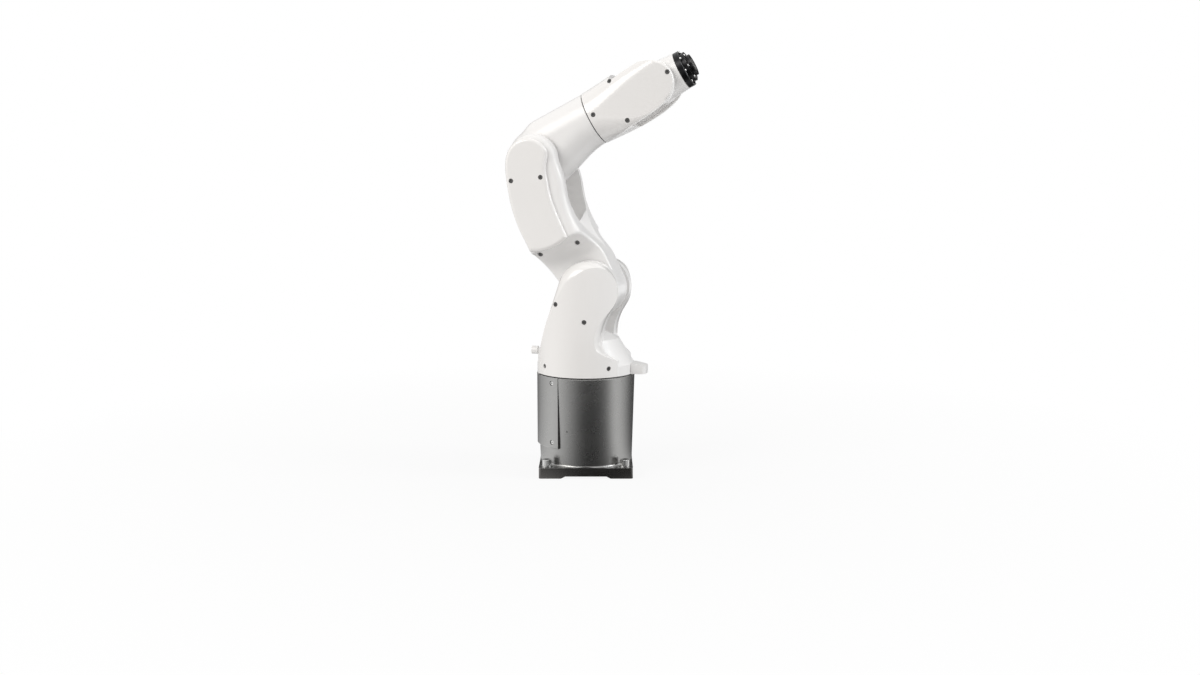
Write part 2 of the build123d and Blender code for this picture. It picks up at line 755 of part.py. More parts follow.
# Wrist covers: shells over the housing, rolled over at the round end of the cheek
rim_start = wrist_side.from_local_coords(
    Vector(cos(radians(cheek_under_angle)), sin(radians(cheek_under_angle)), 0)
)
rim_heading = rim_start - wrist_side.origin
rim_plane = Plane(
    origin=wrist_side.origin, x_dir=rim_heading, z_dir=rim_heading.cross(wrist_side.z_dir)
)
rim_inner = wrist_cheek_radius - wrist_rim
for side, hand in sides:
    with BuildPart() as wrist_cover:
        add(wrist_form(0))
        add(wrist_slab(wrist_band + seat_gap), mode=Mode.SUBTRACT)
        with BuildSketch(forearm_side):
            with Locations((wrist_start + wrist_span / 2, 0)):
                Rectangle(2 * wrist_span, 4 * wrist_radius)
        extrude(amount=-side * 2 * wrist_radius, mode=Mode.SUBTRACT)
        add(wrist_form(wrist_skin - seat_gap), mode=Mode.SUBTRACT)
        add(wrist_swing.part, mode=Mode.SUBTRACT)
        with BuildSketch(rim_plane):
            with BuildLine():
                Polyline(
                    (wrist_cheek_radius, side * (wrist_half_width - wrist_rim)),
                    (wrist_cheek_radius + wrist_rim, side * (wrist_half_width - wrist_rim)),
                    (wrist_cheek_radius + wrist_rim, side * (wrist_half_width + wrist_rim)),
                    (rim_inner, side * (wrist_half_width + wrist_rim)),
                    (rim_inner, side * wrist_half_width),
                )
                ThreePointArc(
                    (rim_inner, side * wrist_half_width),
                    (
                        rim_inner + wrist_rim * cos(radians(45)),
                        side * (wrist_half_width - wrist_rim + wrist_rim * sin(radians(45))),
                    ),
                    (wrist_cheek_radius, side * (wrist_half_width - wrist_rim)),
                )
            make_face()
        revolve(
            axis=Axis(wrist_side.origin, wrist_side.z_dir),
            revolution_arc=cheek_top_angle - cheek_under_angle,
            mode=Mode.SUBTRACT,
        )
        for along, up, floor in wrist_screw_shares:
            with BuildSketch(forearm_side.offset(side * floor * wrist_half_width)):
                with Locations((wrist_start + along * wrist_length, up * wrist_radius)):
                    Circle(cover_screw_radius)
            extrude(amount=side * wrist_half_width, mode=Mode.SUBTRACT)
    wrist_cover.part.label = f"wrist_cover_{hand}"
    export_step(wrist_cover.part, f"parts/wrist_cover_{hand}.step")

# Pivots that carry the hand between the cheeks
for side, hand in sides:
    with BuildPart() as wrist_pivot:
        with BuildSketch(wrist_side.offset(side * (hand_half_width + seat_gap))):
            Circle(wrist_pivot_radius)
        extrude(amount=side * (wrist_slot - hand_half_width - seat_gap))
    wrist_pivot.part.label = f"wrist_pivot_{hand}"
    export_step(wrist_pivot.part, f"parts/wrist_pivot_{hand}.step")

# Hand: a drum between the cheeks with a nose that narrows to the flange
with BuildPart() as hand_housing:
    with BuildSketch(wrist_side.offset(-hand_half_width)):
        Circle(hand_radius)
    extrude(amount=2 * hand_half_width)
    fillet(hand_housing.edges().filter_by(GeomType.CIRCLE), hand_round)
    with BuildSketch(forearm_axis.offset(wrist_reach)):
        RectangleRounded(2 * hand_radius, 2 * hand_half_width, hand_corner)
    with BuildSketch(forearm_axis.offset(wrist_reach + hand_end)):
        RectangleRounded(2 * hand_nose_radius, 2 * hand_nose_radius, hand_nose_corner)
    loft()
hand_housing.part.label = "hand_housing"
export_step(hand_housing.part, "parts/hand_housing.step")

# Tool flange: a clamp ring, a step and the bolting face with its pilot bore
ring_start = wrist_reach + hand_end + seat_gap
step_start = ring_start + flange_ring_length
face_start = step_start + flange_step_length
flange_face = forearm_axis.offset(wrist_reach + flange_reach)
with BuildPart() as flange_ring:
    with BuildSketch(forearm_axis.offset(ring_start)):
        Circle(flange_ring_radius)
    extrude(amount=flange_ring_length)
    chamfer(flange_ring.edges(), flange_ring_edge)
flange_ring.part.label = "flange_ring"
export_step(flange_ring.part, "parts/flange_ring.step")

with BuildPart() as flange_step:
    with BuildSketch(forearm_axis.offset(step_start)):
        Circle(flange_step_radius)
    extrude(amount=flange_step_length)
    with BuildSketch(flange_face):
        with PolarLocations(flange_bolt_circle / 2, flange_bolt_count, start_angle=45):
            Circle(flange_bolt_radius)
    extrude(amount=-flange_bolt_depth, mode=Mode.SUBTRACT)
flange_step.part.label = "flange_step"
export_step(flange_step.part, "parts/flange_step.step")

with BuildPart() as tool_flange:
    with BuildSketch(forearm_axis.offset(face_start)):
        Circle(flange_radius)
    extrude(amount=wrist_reach + flange_reach - face_start)
    with BuildSketch(flange_face):
        Circle(flange_pilot_radius)
    extrude(amount=-flange_pilot_depth, mode=Mode.SUBTRACT)
    with BuildSketch(flange_face):
        with PolarLocations(flange_bolt_circle / 2, flange_bolt_count, start_angle=45):
            Circle(flange_bolt_radius)
    extrude(amount=-flange_bolt_depth, mode=Mode.SUBTRACT)
tool_flange.part.label = "tool_flange"
export_step(tool_flange.part, "parts/tool_flange.step")
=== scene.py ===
from math import cos, pi, radians, sin

import bpy
from mathutils import Matrix, Vector


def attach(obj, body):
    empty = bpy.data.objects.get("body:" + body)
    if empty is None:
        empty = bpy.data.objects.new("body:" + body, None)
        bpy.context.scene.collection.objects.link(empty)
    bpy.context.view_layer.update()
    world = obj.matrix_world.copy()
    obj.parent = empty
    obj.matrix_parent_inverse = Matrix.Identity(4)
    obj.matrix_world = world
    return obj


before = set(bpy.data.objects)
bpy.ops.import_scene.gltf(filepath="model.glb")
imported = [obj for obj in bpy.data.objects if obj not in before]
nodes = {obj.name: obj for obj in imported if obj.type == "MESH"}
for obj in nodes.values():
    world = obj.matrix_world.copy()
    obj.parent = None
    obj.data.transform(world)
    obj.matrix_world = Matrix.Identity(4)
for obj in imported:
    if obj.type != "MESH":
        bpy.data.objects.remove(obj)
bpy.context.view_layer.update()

scene = bpy.context.scene
scene.view_settings.view_transform = "Standard"

# Camera: a normal lens 2.5 m in front of the arm, a little above its elbow, tilted down by 8 degrees.
camera_tilt = 7.97
camera_data = bpy.data.cameras.new("camera")
camera_data.sensor_fit = "HORIZONTAL"
camera_data.sensor_width = 36.0
camera_data.lens = 40.45
camera_data.clip_end = 60.0
camera = bpy.data.objects.new("camera", camera_data)
camera.location = (0.0262, -2.514, 0.6029)
camera.rotation_euler = (radians(90 - camera_tilt), 0, 0)
scene.collection.objects.link(camera)
scene.camera = camera


# Floor: a wide sheet of white studio paper. The camera and the reflections see it nearly white, fading to
# plain white away from the arm, and it still takes the soft shadow under the foot.
def feed(tree, socket, source):
    """Links a socket to another one, or sets its value."""
    if isinstance(source, bpy.types.NodeSocket):
        tree.links.new(source, socket)
    else:
        socket.default_value = source


def wire(tree, kind, inputs=None, operation=None):
    """Node of a kind, with its inputs linked or set by name or number."""
    node = tree.nodes.new(kind)
    if operation:
        node.operation = operation
    for socket, source in (inputs or {}).items():
        feed(tree, node.inputs[socket], source)
    return node


def combine(tree, operation, *terms):
    """Result of a Math node on sockets and numbers."""
    return wire(tree, "ShaderNodeMath", dict(enumerate(terms)), operation).outputs[0]


def bare_tree(owner):
    """Emptied node tree of a material or a world."""
    owner.use_nodes = True
    owner.node_tree.nodes.clear()
    return owner.node_tree


def seen_directly(tree):
    """Mask of the rays that come from the camera, a reflection or a clear material."""
    rays = wire(tree, "ShaderNodeLightPath").outputs
    mask = combine(tree, "MAXIMUM", rays["Is Camera Ray"], rays["Is Glossy Ray"])
    return combine(tree, "MAXIMUM", mask, rays["Is Transmission Ray"])


floor_half = 14.0
floor_below_foot = 0.0002
floor_mesh = bpy.data.meshes.new("studio_floor")
floor_mesh.from_pydata(
    [(x * floor_half, y * floor_half, 0) for x, y in ((-1, -1), (1, -1), (1, 1), (-1, 1))],
    [],
    [(0, 1, 2, 3)],
)
studio_floor = bpy.data.objects.new("studio_floor", floor_mesh)
studio_floor.location.z = -floor_below_foot
scene.collection.objects.link(studio_floor)
floor_paper = bpy.data.materials.new("floor_paper")
tree = bare_tree(floor_paper)
place = wire(tree, "ShaderNodeTexCoord")
reach = wire(tree, "ShaderNodeVectorMath", {0: place.outputs["Object"]}, "LENGTH")
fade = wire(
    tree,
    "ShaderNodeMapRange",
    {"Value": reach.outputs["Value"], "From Min": 0.25, "From Max": 1.3, "To Min": 0.9, "To Max": 1.0},
)
white_share = combine(tree, "MULTIPLY", fade.outputs[0], seen_directly(tree))
paper = wire(tree, "ShaderNodeBsdfDiffuse", {"Color": (0.62, 0.62, 0.62, 1)})
glow = wire(tree, "ShaderNodeEmission", {"Color": (1, 1, 1, 1), "Strength": 1.0})
paper_mix = wire(tree, "ShaderNodeMixShader", {0: white_share, 1: paper.outputs[0], 2: glow.outputs[0]})
wire(tree, "ShaderNodeOutputMaterial", {"Surface": paper_mix.outputs[0]})
floor_mesh.materials.append(floor_paper)

# Graded cloth: a round sheet on the floor and a ring hung far around it, both only seen mirrored. They are
# pale to the left and right of the arm and dark before and behind it, which draws the soft bands down the
# satin metal of the base.
cloth_bays = 48
sheet_radius = 1.9
ring_radius = 4.5
ring_bottom = 0.3
ring_top = 2.6
cloth_rims = ((sheet_radius, 0), (ring_radius, ring_bottom), (ring_radius, ring_top))
cloth_corners = [
    (radius * cos(2 * pi * bay / cloth_bays), radius * sin(2 * pi * bay / cloth_bays), height)
    for radius, height in cloth_rims
    for bay in range(cloth_bays)
]
cloth_ring = [
    tuple(cloth_bays * rim + (bay + step) % cloth_bays for rim, step in ((1, 0), (1, 1), (2, 1), (2, 0)))
    for bay in range(cloth_bays)
]
cloth_mesh = bpy.data.meshes.new("graded_cloth")
cloth_mesh.from_pydata(cloth_corners, [], [tuple(range(cloth_bays)), *cloth_ring])
graded_cloth = bpy.data.objects.new("graded_cloth", cloth_mesh)
scene.collection.objects.link(graded_cloth)
cloth_tone = bpy.data.materials.new("cloth_tone")
tree = bare_tree(cloth_tone)
place = wire(tree, "ShaderNodeTexCoord")
across = wire(tree, "ShaderNodeSeparateXYZ", {0: place.outputs["Object"]})
bearing = combine(tree, "ARCTAN2", across.outputs["Y"], across.outputs["X"])
round_share = wire(tree, "ShaderNodeMapRange", {"Value": bearing, "From Min": -pi, "From Max": pi})
bands = wire(tree, "ShaderNodeValToRGB", {"Fac": round_share.outputs[0]})
bands.color_ramp.interpolation = "CARDINAL"
seam_tone = 0.97
cloth_tones = (
    (-170, 1.0), (-141, 0.72), (-111, 0.24), (-79, 0.05), (-43, 0.28), (-18, 0.95), (26, 0.3), (62, 0.06),
    (110, 0.1), (139, 0.46),
)
for degrees_round, tone in cloth_tones:
    stop = bands.color_ramp.elements.new((degrees_round + 180) / 360)
    stop.color = (tone, tone, tone, 1)
for end in (0, -1):
    bands.color_ramp.elements[end].color = (seam_tone, seam_tone, seam_tone, 1)
cloth_glow = wire(tree, "ShaderNodeEmission", {"Color": bands.outputs["Color"], "Strength": 1.25})
wire(tree, "ShaderNodeOutputMaterial", {"Surface": cloth_glow.outputs[0]})
cloth_mesh.materials.append(cloth_tone)
graded_cloth.visible_camera = False
graded_cloth.visible_diffuse = False
graded_cloth.visible_shadow = False

# Light: a pale even surround, two soft boxes, left and overhead, and a long strip light high on the right.
world = bpy.data.worlds.new("studio_surround")
scene.world = world
tree = bare_tree(world)
surround = wire(tree, "ShaderNodeBackground", {"Color": (1.0, 0.985, 0.975, 1), "Strength": 0.67})
backdrop = wire(tree, "ShaderNodeBackground", {"Color": (1, 1, 1, 1), "Strength": 1.0})
surround_mix = wire(
    tree, "ShaderNodeMixShader", {0: seen_directly(tree), 1: surround.outputs[0], 2: backdrop.outputs[0]}
)
wire(tree, "ShaderNodeOutputWorld", {"Surface": surround_mix.outputs[0]})
lamp_target = Vector((0, 0, 0.45))
for box_name, stand, width, height, watts, tint in (
    ("soft_box_left", (-1.9, -1.5, 1.9), 1.5, 1.5, 33, (1.0, 0.98, 0.955)),
    ("strip_right", (2.0, -0.4, 1.7), 0.6, 1.6, 23, (0.95, 0.975, 1.0)),
    ("soft_box_top", (-0.2, 0.2, 2.6), 1.8, 1.8, 4, (1.0, 1.0, 1.0)),
):
    lamp = bpy.data.lights.new(box_name, "AREA")
    lamp.shape = "RECTANGLE"
    lamp.size = width
    lamp.size_y = height
    lamp.energy = watts
    lamp.color = tint
    soft_box = bpy.data.objects.new(box_name, lamp)
    soft_box.location = stand
    soft_box.rotation_euler = (lamp_target - Vector(stand)).to_track_quat("-Z", "Y").to_euler()
    soft_box.visible_camera = False
    scene.collection.objects.link(soft_box)


# Base: an aluminium casting, a square foot under a round barrel, sprayed in satin metallic grey. The sides of
# the foot carry painted shade, a darker colour, and the spray is rubbed a little thin along the sharp edges.
def new_group(name, inputs, outputs):
    """Empty shader node group with float sockets, its inputs by name and its output node."""
    group = bpy.data.node_groups.new(name, "ShaderNodeTree")
    for label, default in inputs.items():
        socket = group.interface.new_socket(label, in_out="INPUT", socket_type="NodeSocketFloat")
        socket.default_value = default
    for label in outputs:
        group.interface.new_socket(label, in_out="OUTPUT", socket_type="NodeSocketFloat")
    return group, group.nodes.new("NodeGroupInput").outputs, group.nodes.new("NodeGroupOutput").inputs


# Sprayed skin: the slight orange peel and uneven gloss that a spray gun leaves.
sprayed_skin, given, result = new_group(
    "sprayed_skin", {"Peel size": 900.0, "Gloss low": 0.25, "Gloss high": 0.35}, ("Roughness", "Height")
)
place = wire(sprayed_skin, "ShaderNodeTexCoord").outputs["Object"]
peel = wire(
    sprayed_skin,
    "ShaderNodeTexNoise",
    {"Vector": place, "Scale": given["Peel size"], "Detail": 2.0, "Roughness": 0.5},
)
cloud = wire(sprayed_skin, "ShaderNodeTexNoise", {"Vector": place, "Scale": 22.0, "Detail": 4.0})
gloss = wire(
    sprayed_skin,
    "ShaderNodeMapRange",
    {
        "Value": cloud.outputs["Fac"],
        "From Min": 0.3,
        "From Max": 0.7,
        "To Min": given["Gloss low"],
        "To Max": given["Gloss high"],
    },
)
feed(sprayed_skin, result["Roughness"], gloss.outputs[0])
feed(sprayed_skin, result["Height"], peel.outputs["Fac"])

# Edge wear: a broken mask along the outer edges, found from how far a rounded edge would turn the surface.
edge_wear, given, result = new_group("edge_wear", {"Width": 0.0012, "Strength": 1.0}, ("Mask",))
rounded = wire(edge_wear, "ShaderNodeBevel", {"Radius": given["Width"]})
rounded.samples = 4
facing = wire(edge_wear, "ShaderNodeNewGeometry").outputs["Normal"]
turned = wire(edge_wear, "ShaderNodeVectorMath", {0: rounded.outputs[0], 1: facing}, "DOT_PRODUCT")
edge = wire(
    edge_wear,
    "ShaderNodeMapRange",
    {"Value": turned.outputs["Value"], "From Min": 0.995, "From Max": 0.85, "To Min": 0.0, "To Max": 1.0},
)
place = wire(edge_wear, "ShaderNodeTexCoord").outputs["Object"]
rubbed = wire(edge_wear, "ShaderNodeTexNoise", {"Vector": place, "Scale": 140.0, "Detail": 3.0})
broken = combine(edge_wear, "MULTIPLY", edge.outputs[0], rubbed.outputs["Fac"])
feed(edge_wear, result["Mask"], combine(edge_wear, "MULTIPLY", broken, given["Strength"]))

# Settled dust: a thin patchy film on what faces upwards.
settled_dust, given, result = new_group("settled_dust", {"Amount": 0.2, "Patch size": 30.0}, ("Mask",))
facing = wire(settled_dust, "ShaderNodeNewGeometry").outputs["Normal"]
upward = wire(settled_dust, "ShaderNodeSeparateXYZ", {0: facing})
lying = wire(
    settled_dust,
    "ShaderNodeMapRange",
    {"Value": upward.outputs["Z"], "From Min": 0.2, "From Max": 1.0, "To Min": 0.0},
)
place = wire(settled_dust, "ShaderNodeTexCoord").outputs["Object"]
patches = wire(
    settled_dust,
    "ShaderNodeTexNoise",
    {"Vector": place, "Scale": given["Patch size"], "Detail": 6.0, "Roughness": 0.65},
)
film = combine(settled_dust, "MULTIPLY", lying.outputs[0], patches.outputs["Fac"])
feed(settled_dust, result["Mask"], combine(settled_dust, "MULTIPLY", film, given["Amount"]))


def new_finish(name, **fixed):
    """Material with one Principled BSDF whose constant sockets are set directly."""
    finish = bpy.data.materials.new(name)
    finish.use_nodes = True
    skin = finish.node_tree.nodes["Principled BSDF"]
    for socket, value in fixed.items():
        skin.inputs[socket.replace("_", " ")].default_value = value
    return finish, finish.node_tree, skin


def place_group(tree, group, **values):
    """Shader group placed in a material, with its inputs set."""
    node = tree.nodes.new("ShaderNodeGroup")
    node.node_tree = group
    for socket, value in values.items():
        node.inputs[socket.replace("_", " ")].default_value = value
    return node


def blend_colours(tree, mask, below, above):
    """Colour that goes from below to above by a mask; either may be a colour or a socket."""
    node = tree.nodes.new("ShaderNodeMix")
    node.data_type = "RGBA"
    for socket, source in (("Factor", mask), (6, below), (7, above)):
        feed(tree, node.inputs[socket], source)
    return node.outputs[2]


def add_bump(tree, skin, height, distance, strength):
    """Small relief on a material."""
    bump = wire(tree, "ShaderNodeBump", {"Height": height, "Distance": distance, "Strength": strength})
    feed(tree, skin.inputs["Normal"], bump.outputs[0])


def metallic_grey(name, light, dark, foot):
    """Satin metallic spray, with painted shade, a darker colour, on the sides of the foot where the piece has
    one.
    """
    finish, tree, skin = new_finish(name, Metallic=1.0)
    place = wire(tree, "ShaderNodeTexCoord").outputs["Object"]
    flake = wire(tree, "ShaderNodeTexVoronoi", {"Vector": place, "Scale": 1500.0})
    spark = wire(tree, "ShaderNodeSeparateColor", {0: flake.outputs["Color"]})
    colour = blend_colours(tree, spark.outputs[0], dark, light)
    # Painted shade: below the top of the foot the colour turns to the darker foot colour.
    if foot:
        height = wire(tree, "ShaderNodeSeparateXYZ", {0: place}).outputs["Z"]
        low = wire(
            tree,
            "ShaderNodeMapRange",
            {"Value": height, "From Min": 0.0199, "From Max": 0.0192, "To Min": 0.0, "To Max": 1.0},
        )
        colour = blend_colours(tree, low.outputs[0], colour, foot)
    wear = place_group(tree, edge_wear, Width=0.0011, Strength=0.9)
    colour = blend_colours(tree, wear.outputs["Mask"], colour, (0.62, 0.62, 0.61, 1))
    dust = place_group(tree, settled_dust, Amount=0.22)
    colour = blend_colours(tree, dust.outputs["Mask"], colour, (0.5, 0.49, 0.47, 1))
    feed(tree, skin.inputs["Base Color"], colour)
    peel = place_group(tree, sprayed_skin, Peel_size=1100.0, Gloss_low=0.26, Gloss_high=0.29)
    feed(tree, skin.inputs["Roughness"], peel.outputs["Roughness"])
    add_bump(tree, skin, peel.outputs["Height"], distance=0.00006, strength=0.35)
    return finish


# The foot colour is painted shade on the sides of the foot.
base_spray = metallic_grey(
    "base_spray", light=(0.345, 0.344, 0.338, 1), dark=(0.295, 0.293, 0.287, 1), foot=(0.14, 0.135, 0.13, 1)
)
nodes["base_casting"].material_slots[0].material = base_spray

# Rear cover of the base: a bent aluminium plate over the plugs and cables, in the same spray, a shade lighter.
rear_cover_spray = metallic_grey(
    "rear_cover_spray", light=(0.36, 0.359, 0.353, 1), dark=(0.31, 0.308, 0.302, 1), foot=None
)
nodes["base_rear_cover"].material_slots[0].material = rear_cover_spray


# Screws of the rear cover: four small socket screws sunk in its corners. The same screws, in sizes of their
# own, hold every cover of the arm. Steel, turned, with a pressed hexagon.
def steel(name, colour, rough_low, rough_high):
    """Bare or blackened screw steel with fine rubbed marks."""
    finish, tree, skin = new_finish(name, Metallic=1.0)
    place = wire(tree, "ShaderNodeTexCoord").outputs["Object"]
    rub = wire(tree, "ShaderNodeTexNoise", {"Vector": place, "Scale": 700.0, "Detail": 4.0}).outputs["Fac"]
    dark_share = 0.7
    dark = (*(dark_share * channel for channel in colour[:3]), 1)
    tone = blend_colours(tree, rub, dark, colour)
    wear = place_group(tree, edge_wear, Width=0.0004, Strength=1.2)
    tone = blend_colours(tree, wear.outputs["Mask"], tone, (0.6, 0.6, 0.6, 1))
    feed(tree, skin.inputs["Base Color"], tone)
    gloss = wire(tree, "ShaderNodeMapRange", {"Value": rub, "To Min": rough_low, "To Max": rough_high})
    feed(tree, skin.inputs["Roughness"], gloss.outputs[0])
    add_bump(tree, skin, rub, distance=0.00003, strength=0.3)
    return finish


def new_fitting(name, labels):
    """Geometry Nodes tree for a fitting with named sizes and a finish, and its inputs by name."""
    tree = bpy.data.node_groups.new(name, "GeometryNodeTree")
    tree.interface.new_socket("Geometry", in_out="INPUT", socket_type="NodeSocketGeometry")
    for label in labels:
        tree.interface.new_socket(label, in_out="INPUT", socket_type="NodeSocketFloat")
    tree.interface.new_socket("Finish", in_out="INPUT", socket_type="NodeSocketMaterial")
    tree.interface.new_socket("Geometry", in_out="OUTPUT", socket_type="NodeSocketGeometry")
    return tree, tree.nodes.new("NodeGroupInput").outputs


def drum_of(tree, sides, radius, depth):
    """Drum or prism centred on the origin, with its axis upright."""
    return wire(tree, "GeometryNodeMeshCylinder", {"Vertices": sides, "Radius": radius, "Depth": depth})


def raised(tree, mesh, height):
    """Mesh moved up by a height."""
    lift = wire(tree, "ShaderNodeCombineXYZ", {"Z": height})
    moved = wire(tree, "GeometryNodeTransform", {"Geometry": mesh, "Translation": lift.outputs[0]})
    return moved.outputs[0]


def knurled(tree, mesh, depth):
    """Drum with every second point of its rims pushed outwards."""
    number = wire(tree, "GeometryNodeInputIndex").outputs[0]
    push = combine(tree, "MULTIPLY", combine(tree, "MODULO", number, 2.0), depth)
    spot = wire(tree, "GeometryNodeInputPosition").outputs[0]
    flat = wire(tree, "ShaderNodeVectorMath", {0: spot, 1: (1, 1, 0)}, "MULTIPLY").outputs[0]
    out = wire(tree, "ShaderNodeVectorMath", {0: flat}, "NORMALIZE").outputs[0]
    offset = wire(tree, "ShaderNodeVectorMath", {0: out, "Scale": push}, "SCALE").outputs[0]
    return wire(tree, "GeometryNodeSetPosition", {"Geometry": mesh, "Offset": offset}).outputs[0]


def socket_head(tree, sizes, sides, foot, grip=None):
    """Screw head on a foot height: a drum with a bevelled rim, knurled by a grip, and a hexagon socket."""
    shank = combine(tree, "SUBTRACT", sizes["Head height"], sizes["Edge"])
    drum = drum_of(tree, sides, sizes["Head radius"], shank)
    body = knurled(tree, drum.outputs["Mesh"], grip) if grip else drum.outputs["Mesh"]
    rise = wire(
        tree,
        "GeometryNodeExtrudeMesh",
        {"Mesh": body, "Selection": drum.outputs["Top"], "Offset Scale": sizes["Edge"]},
    )
    inner = combine(tree, "SUBTRACT", sizes["Head radius"], sizes["Edge"])
    ratio = combine(tree, "DIVIDE", inner, sizes["Head radius"])
    bevelled = wire(
        tree,
        "GeometryNodeScaleElements",
        {"Geometry": rise.outputs["Mesh"], "Selection": rise.outputs["Top"], "Scale": ratio},
    )
    middle = combine(tree, "ADD", foot, combine(tree, "MULTIPLY", shank, 0.5))
    head = raised(tree, bevelled.outputs[0], middle)
    twice = combine(tree, "MULTIPLY", sizes["Socket depth"], 2.0)
    hexagon = drum_of(tree, 6, sizes["Socket radius"], twice)
    sunk = raised(tree, hexagon.outputs["Mesh"], combine(tree, "ADD", foot, sizes["Head height"]))
    return wire(tree, "GeometryNodeMeshBoolean", {"Mesh 1": head, "Mesh 2": sunk}, "DIFFERENCE").outputs[0]


def spread_fitting(tree, sizes, shape):
    """Sets a shape on every point, along the point's axis, and paints it."""
    axis = tree.nodes.new("GeometryNodeInputNamedAttribute")
    axis.data_type = "FLOAT_VECTOR"
    axis.inputs["Name"].default_value = "axis"
    along = wire(tree, "FunctionNodeAlignRotationToVector", {"Vector": axis.outputs["Attribute"]})
    along.axis = "Z"
    spread = wire(
        tree,
        "GeometryNodeInstanceOnPoints",
        {"Points": sizes["Geometry"], "Instance": shape, "Rotation": along.outputs[0]},
    )
    real = wire(tree, "GeometryNodeRealizeInstances", {"Geometry": spread.outputs[0]})
    painted = wire(
        tree, "GeometryNodeSetMaterial", {"Geometry": real.outputs[0], "Material": sizes["Finish"]}
    )
    wire(tree, "NodeGroupOutput", {"Geometry": painted.outputs[0]})


def fit_on_points(name, tree, body, slot, spots, finish, **sizes):
    """Plain mesh of what a tree sets on spots, each a point and an axis, riding on a body."""
    points = bpy.data.meshes.new(name + "_points")
    points.from_pydata([spot for spot, _ in spots], [], [])
    axes = points.attributes.new("axis", "FLOAT_VECTOR", "POINT")
    for item, (_, axis) in zip(axes.data, spots):
        item.vector = axis
    carrier = bpy.data.objects.new(name + "_points", points)
    scene.collection.objects.link(carrier)
    modifier = carrier.modifiers.new("fittings", "NODES")
    modifier.node_group = tree
    sockets = {
        item.name: item.identifier
        for item in tree.interface.items_tree
        if item.item_type == "SOCKET" and item.in_out == "INPUT"
    }
    for label, value in sizes.items():
        modifier[sockets[label.replace("_", " ")]] = value
    modifier[sockets["Finish"]] = finish
    made = carrier.evaluated_get(bpy.context.evaluated_depsgraph_get())
    mesh = bpy.data.meshes.new_from_object(made)
    mesh.name = name
    mesh.shade_smooth()
    mesh.set_sharp_from_angle(angle=radians(32))
    carrier.modifiers.remove(modifier)
    bpy.data.objects.remove(carrier)
    piece = bpy.data.objects.new(name, mesh)
    scene.collection.objects.link(piece)
    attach(piece, body)
    return piece


def level_at(bearing):
    """Level direction at a bearing in degrees, counted from the front of the base."""
    return Vector((cos(radians(bearing)), sin(radians(bearing)), 0))


socket_screws, sizes = new_fitting(
    "socket_screws", ("Head radius", "Head height", "Edge", "Socket radius", "Socket depth")
)
spread_fitting(socket_screws, sizes, socket_head(socket_screws, sizes, sides=28, foot=0.0))
black_steel = steel("black_steel", (0.15, 0.148, 0.145, 1), 0.28, 0.42)
zinc_steel = steel("zinc_steel", (0.74, 0.74, 0.73, 1), 0.14, 0.26)
panel_radius = 0.0923
panel_screw_recess = 0.0045
panel_screw_bearing = 46.5
panel_screw_heights = (0.064, 0.175)
panel_spots = []
for bearing in (180 - panel_screw_bearing, 180 + panel_screw_bearing):
    out = level_at(bearing)
    seat = (panel_radius - panel_screw_recess) * out
    panel_spots += [(seat + Vector((0, 0, height)), out) for height in panel_screw_heights]
fit_on_points(
    "rear_cover_screws", socket_screws, "base", "base_cover_paint", panel_spots, zinc_steel,
    Head_radius=0.0036, Head_height=0.0032, Edge=0.0004, Socket_radius=0.0017, Socket_depth=0.0018,
)

# Set screw of the base: a tiny blackened screw that closes a tapped hole low in the barrel, almost flush.
set_screw_out = level_at(-113)
set_screw_seat = 0.0876
set_screw_height = 0.087
fit_on_points(
    "base_set_screw", socket_screws, "base", "base_paint",
    [(set_screw_seat * set_screw_out + Vector((0, 0, set_screw_height)), set_screw_out)], black_steel,
    Head_radius=0.0017, Head_height=0.0012, Edge=0.0002, Socket_radius=0.0008, Socket_depth=0.0002,
)

# Foot bolts: zinc-plated socket bolts through the four corners, each on a flat and a spring washer, with a
# knurled head. They hold the arm down on its plinth.
bolt_half_spacing = 0.072
washer_seat = 0.019
foot_bolts, sizes = new_fitting(
    "foot_bolts",
    (
        "Washer radius", "Washer height", "Spring radius", "Spring height", "Head radius", "Head height",
        "Edge", "Knurl", "Socket radius", "Socket depth",
    ),
)
bolt_stack = wire(foot_bolts, "GeometryNodeJoinGeometry")
ring_foot = 0.0
for ring in ("Washer", "Spring"):
    disc = drum_of(foot_bolts, 40, sizes[ring + " radius"], sizes[ring + " height"])
    half = combine(foot_bolts, "MULTIPLY", sizes[ring + " height"], 0.5)
    laid = raised(foot_bolts, disc.outputs["Mesh"], combine(foot_bolts, "ADD", ring_foot, half))
    feed(foot_bolts, bolt_stack.inputs[0], laid)
    ring_foot = combine(foot_bolts, "ADD", ring_foot, sizes[ring + " height"])
bolt_head = socket_head(foot_bolts, sizes, sides=72, foot=ring_foot, grip=sizes["Knurl"])
feed(foot_bolts, bolt_stack.inputs[0], bolt_head)
spread_fitting(foot_bolts, sizes, bolt_stack.outputs[0])
bolt_spots = [
    (Vector((x, y, washer_seat)), Vector((0, 0, 1)))
    for x in (-bolt_half_spacing, bolt_half_spacing)
    for y in (-bolt_half_spacing, bolt_half_spacing)
]
fit_on_points(
    "foot_bolts", foot_bolts, "base", "base_paint", bolt_spots, zinc_steel,
    Washer_radius=0.0102, Washer_height=0.0022, Spring_radius=0.0088, Spring_height=0.0022,
    Head_radius=0.008, Head_height=0.01, Edge=0.0006, Knurl=0.00025, Socket_radius=0.0046, Socket_depth=0.005,
)

